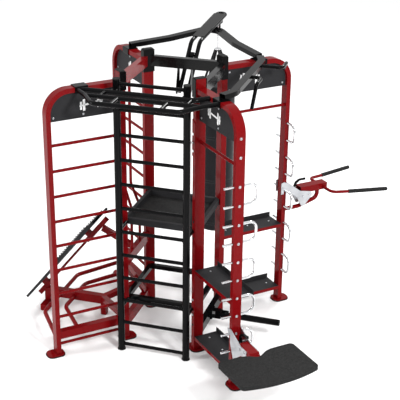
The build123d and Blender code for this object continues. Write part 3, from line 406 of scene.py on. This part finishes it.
shelf_bolts()
weld_beads(
    "rung_welds",
    ["wing_rungs_front_left", "wing_rungs_rear_left", "wing_cross_tubes"],
    RED,
    0.0028,
)
weld_beads("ladder_welds", ["ladder_rungs"], BLACK, 0.003)

# ---------------------------------------------------------------- small fittings

PLUG_HEIGHTS = (1.214, 1.067, 0.25)
PLUG_RADIUS = 0.011


def post_plugs():
    """Black plugs in the spare holes of the post that carries the J-hook."""
    bm = bmesh.new()
    centre, axes, sizes = measure(solids("j_hook_plate")[0])
    normal = away(centre, axes[2])
    seat = centre - normal * sizes[2] / 2
    profile = [
        (PLUG_RADIUS, 0.0),
        (PLUG_RADIUS, 0.0014),
        (PLUG_RADIUS * 0.8, 0.0022),
        (PLUG_RADIUS * 0.6, 0.0012),
        (PLUG_RADIUS * 0.2, 0.0010),
    ]
    for height in PLUG_HEIGHTS:
        turn(bm, profile, Vector((seat.x, seat.y, height)), normal, 28)
    make("post_plugs", bm, RUBBER)


MAT_GAP = 0.004
MAT_RIM = 0.03
MAT_RIBS = 36


def tray_mat():
    """A ribbed rubber mat on the floor of the equipment tray."""
    low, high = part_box("equipment_tray")
    floor = low.z + 0.006
    centre = Vector(((low.x + high.x) / 2, (low.y + high.y) / 2, floor + 0.0015))
    wide = high.x - low.x - 2 * (MAT_RIM + MAT_GAP)
    deep = high.y - low.y - 2 * (MAT_RIM + MAT_GAP)
    axes = (Vector((1, 0, 0)), Vector((0, 1, 0)), UP)
    bm = bmesh.new()
    block(bm, centre, axes, (wide, deep, 0.003), 0.001)
    for rib in range(MAT_RIBS):
        across = (rib + 0.5) / MAT_RIBS - 0.5
        rib_at = centre + axes[0] * wide * across + UP * 0.002
        block(bm, rib_at, axes, (wide / MAT_RIBS * 0.5, deep - 0.012, 0.002), 0.0006)
    make("tray_mat", bm, RUBBER)


TOOTH_PITCH = 0.03
TOOTH_HIGH = 0.008
TOOTH_THICK = 0.006
TOOTH_SIZES = (TOOTH_PITCH * 0.55, TOOTH_THICK, TOOTH_HIGH)
TOOTH_START = 0.045  # share of the board's length from its middle down to the first tooth


def adjusting_teeth():
    """The row of teeth along each flange of the incline board."""
    bm = bmesh.new()
    for points in solids("incline_board"):
        centre, axes, sizes = measure(points)
        long = axes[0] if axes[0].z > 0 else -axes[0]
        normal = axes[2] if axes[2].z > 0 else -axes[2]
        for side in (-1, 1):
            edge = centre + normal * sizes[2] / 2 + axes[1] * side * (sizes[1] / 2 - TOOTH_THICK / 2)
            for k in range(int(sizes[0] * 0.5 / TOOTH_PITCH)):
                along = k * TOOTH_PITCH - sizes[0] * TOOTH_START
                tooth = edge + long * along + normal * TOOTH_HIGH / 2
                block(bm, tooth, (long, axes[1], normal), TOOTH_SIZES, 0.0008)
    make("adjusting_teeth", bm, BLACK)


def grip_caps():
    """Bright caps on the ends of the dip grips."""
    bm = bmesh.new()
    for points in solids("dip_grips"):
        centre, axes, sizes = measure(points)
        axis = away(centre, axes[0])
        radius = sizes[2] / 2 * 0.62
        profile = [(radius, -0.004), (radius, 0.001), (radius * 0.86, 0.003), (radius * 0.3, 0.004)]
        turn(bm, profile, centre + axis * sizes[0] / 2, axis, 32)
    make("grip_caps", bm, CHROME)


post_plugs()
tray_mat()
adjusting_teeth()
grip_caps()

# ---------------------------------------------------------------- signs

SIGN_SHIFT = -0.06  # the sign stands inboard of the panel's middle
SIGN_RAISE = 0.0006
SIGN_THICK = 0.0016
SIGN_PARTS = ((0.0, 0.2, 0.014), (0.062, 0.02, 0.095), (0.088, 0.016, 0.066))


def dumbbell_signs():
    """A plain white dumbbell on both faces of each sign panel."""
    bm = bmesh.new()
    for points in solids("sign_panels"):
        centre, axes, sizes = measure(points)
        out = away(centre, axes[0])
        for way in (-1, 1):
            face = centre + axes[2] * way * (sizes[2] / 2 + SIGN_RAISE) + out * SIGN_SHIFT
            for place, wide, high in SIGN_PARTS:
                spots = (0.0,) if place == 0.0 else (-place, place)
                for spot in spots:
                    block(bm, face + out * spot, (out, UP, axes[2]), (wide, high, SIGN_THICK), 0.0005)
    make("dumbbell_signs", bm, WHITE)


dumbbell_signs()

# ---------------------------------------------------------------- soft and rubber parts

GRIP_RIB = 0.011


def ribbed_grips():
    """Foam grips with ribs and a domed end, over the dip handles."""
    bm = bmesh.new()
    for points in solids("dip_grips"):
        centre, axes, sizes = measure(points)
        axis = away(centre, axes[0])
        radius = sizes[2] / 2
        long = sizes[0]
        profile = [(radius * 0.86, 0.0), (radius * 0.98, 0.003)]
        ribs = int((long - 0.03) / GRIP_RIB)
        for rib in range(ribs):
            base = 0.008 + rib * GRIP_RIB
            profile.extend([(radius, base), (radius, base + 0.007), (radius - 0.0012, base + 0.009)])
        profile.extend([(radius, long - 0.014), (radius * 0.94, long - 0.006), (radius * 0.6, long)])
        turn(bm, profile, centre - axis * long / 2, axis, 40)
    piece = make("ribbed_grips", bm, RUBBER, sharp=60)
    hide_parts("dip_grips")


BAG_SEGMENTS = 112
BAG_RINGS = 120
BAG_SEAMS = (0.06, 0.36, 0.66, 0.93)
SEAM_WIDTH = 0.004
BAG_STITCHES = 96  # in each row round the bag
STITCH_ROW = 0.011  # a row of stitches above and below each seam
STITCH_SIZES = (0.0066, 0.0016, 0.0014)
WEBBING_ROWS = 14
WEBBING_THICK = 0.0042


def bag_radius(radius, share, angle):
    """Radius of the filled bag at a share of its height: full low down, pinched at its seams."""
    full = 1.0 - 0.012 * share + 0.006 * math.sin(math.pi * share)
    pinch = sum(math.exp(-(((share - seam) / SEAM_WIDTH) ** 2)) for seam in BAG_SEAMS)
    upright = math.exp(-((math.sin((angle - 0.8) / 2) / 0.012) ** 2))
    crease = 0.0022 * share**4 * math.sin(9 * angle + 14 * share)
    lumps = 0.0016 * math.sin(3 * angle + 9 * share) * math.sin(5 * share + 2 * angle)
    return radius * full - 0.0032 * pinch - 0.0022 * upright + crease + lumps


def filled_bag():
    """The punch bag: a filled vinyl cylinder with sewn bands, and stitches along them."""
    low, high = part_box("punch_bag")
    centre = Vector(((low.x + high.x) / 2, (low.y + high.y) / 2, low.z))
    radius = (high.x - low.x) / 2
    tall = high.z - low.z
    profile = [(radius * 0.5, 0.004), (radius * 0.84, 0.006), (radius * 0.96, 0.018)]
    profile.extend(
        (radius, 0.03 + (tall - 0.045) * ring / BAG_RINGS) for ring in range(BAG_RINGS + 1)
    )
    profile.extend(
        [(radius * 0.985, tall - 0.006), (radius * 0.94, tall - 0.002), (radius * 0.5, tall - 0.012)]
    )

    def outline(angle, step):
        height = profile[step][1]
        return bag_radius(radius, height / tall, angle) / radius

    bm = bmesh.new()
    turn(bm, profile, centre, UP, BAG_SEGMENTS, outline)
    piece = make("filled_bag", bm, VINYL, "bag", 50)
    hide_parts("punch_bag")

    bm = bmesh.new()
    for seam in BAG_SEAMS:
        for row in (-1, 1):
            height = tall * seam + row * STITCH_ROW
            for k in range(BAG_STITCHES):
                angle = 2 * math.pi * k / BAG_STITCHES
                wide = bag_radius(radius, height / tall, angle) + 0.0006
                radial = Vector((math.cos(angle), math.sin(angle), 0))
                along = Vector((-math.sin(angle), math.cos(angle), 0))
                spot = centre + radial * wide + UP * height
                block(bm, spot, (along, UP, radial), STITCH_SIZES, 0.0005)
    make("bag_stitching", bm, THREAD, "bag", 60)


def bag_webbing():
    """Four sewn webbing straps in place of the plain ones."""
    bm = bmesh.new()
    for points in solids("bag_straps"):
        centre, axes, sizes = measure(points)
        down = axes[0] if axes[0].z < 0 else -axes[0]
        top = centre - down * sizes[0] / 2
        for row in range(WEBBING_ROWS):
            start = top + down * sizes[0] * row / WEBBING_ROWS
            middle = start + down * sizes[0] / WEBBING_ROWS / 2
            row_sizes = (sizes[1], sizes[0] / WEBBING_ROWS * 1.02, WEBBING_THICK)
            block(bm, middle, (axes[1], down, axes[2]), row_sizes, 0.0009)
    piece = make("bag_webbing", bm, WEBBING, "bag", 40)
    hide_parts("bag_straps")


ribbed_grips()
filled_bag()
bag_webbing()

# ---------------------------------------------------------------- floor, camera and light

CAMERA_AT = Vector((2.718, -8.312, 4.979))
CAMERA_TARGET = Vector((0, 0, 1.0988))
SKY_LOW = (0.62, 0.62, 0.62)  # a little darker near the horizon than overhead
SKY_STRENGTH = 1.15
FLOOR_SIZE = 600
LAMPS = (  # name, place, watts, width
    ("key", (5.0, -4.5, 5.5), 420, 0.9),
    ("fill", (-6.0, -4.5, 3.5), 230, 0.8),
    ("rim", (1.5, 6.0, 6.0), 240, 2.0),
)


def studio():
    """A pale floor, a pale surround that is brightest overhead, and three soft lamps."""
    bpy.ops.mesh.primitive_plane_add(size=FLOOR_SIZE, location=(0, 0, 0))
    floor = bpy.context.object
    floor.name = "floor"
    ground = bpy.data.materials.new("pale_floor")
    ground.use_nodes = True
    shader = ground.node_tree.nodes["Principled BSDF"]
    shader.inputs["Base Color"].default_value = (0.92, 0.92, 0.92, 1)
    shader.inputs["Roughness"].default_value = 0.9
    floor.data.materials.append(ground)

    world = bpy.data.worlds.new("studio")
    bpy.context.scene.world = world
    bpy.context.scene.view_settings.view_transform = "Standard"
    world.use_nodes = True
    tree = world.node_tree
    place = tree.nodes.new("ShaderNodeTexCoord")
    split = tree.nodes.new("ShaderNodeSeparateXYZ")
    sky = tree.nodes.new("ShaderNodeValToRGB")
    sky.color_ramp.elements[0].position = 0.12
    sky.color_ramp.elements[0].color = (*SKY_LOW, 1)
    sky.color_ramp.elements[1].position = 0.75
    sky.color_ramp.elements[1].color = (1, 1, 1, 1)
    tree.links.new(place.outputs["Generated"], split.inputs["Vector"])
    tree.links.new(split.outputs["Z"], sky.inputs["Fac"])
    tree.links.new(sky.outputs["Color"], tree.nodes["Background"].inputs["Color"])
    tree.nodes["Background"].inputs["Strength"].default_value = SKY_STRENGTH

    for name, spot, energy, size in LAMPS:
        lamp = bpy.data.lights.new(name, "AREA")
        lamp.energy = energy
        lamp.size = size
        holder = bpy.data.objects.new(name, lamp)
        holder.location = spot
        aim = CAMERA_TARGET - Vector(spot)
        holder.rotation_euler = aim.to_track_quat("-Z", "Y").to_euler()
        bpy.context.scene.collection.objects.link(holder)


def camera():
    """The camera at the viewing angle, with the picture's framing."""
    lens = bpy.data.cameras.new("camera")
    lens.lens = 100.14
    lens.sensor_width = 36
    lens.shift_x = 0.0687
    lens.shift_y = 0.0329
    lens.clip_end = FLOOR_SIZE
    holder = bpy.data.objects.new("camera", lens)
    holder.location = CAMERA_AT
    holder.rotation_euler = (CAMERA_TARGET - CAMERA_AT).to_track_quat("-Z", "Y").to_euler()
    bpy.context.scene.collection.objects.link(holder)
    bpy.context.scene.camera = holder


studio()
camera()
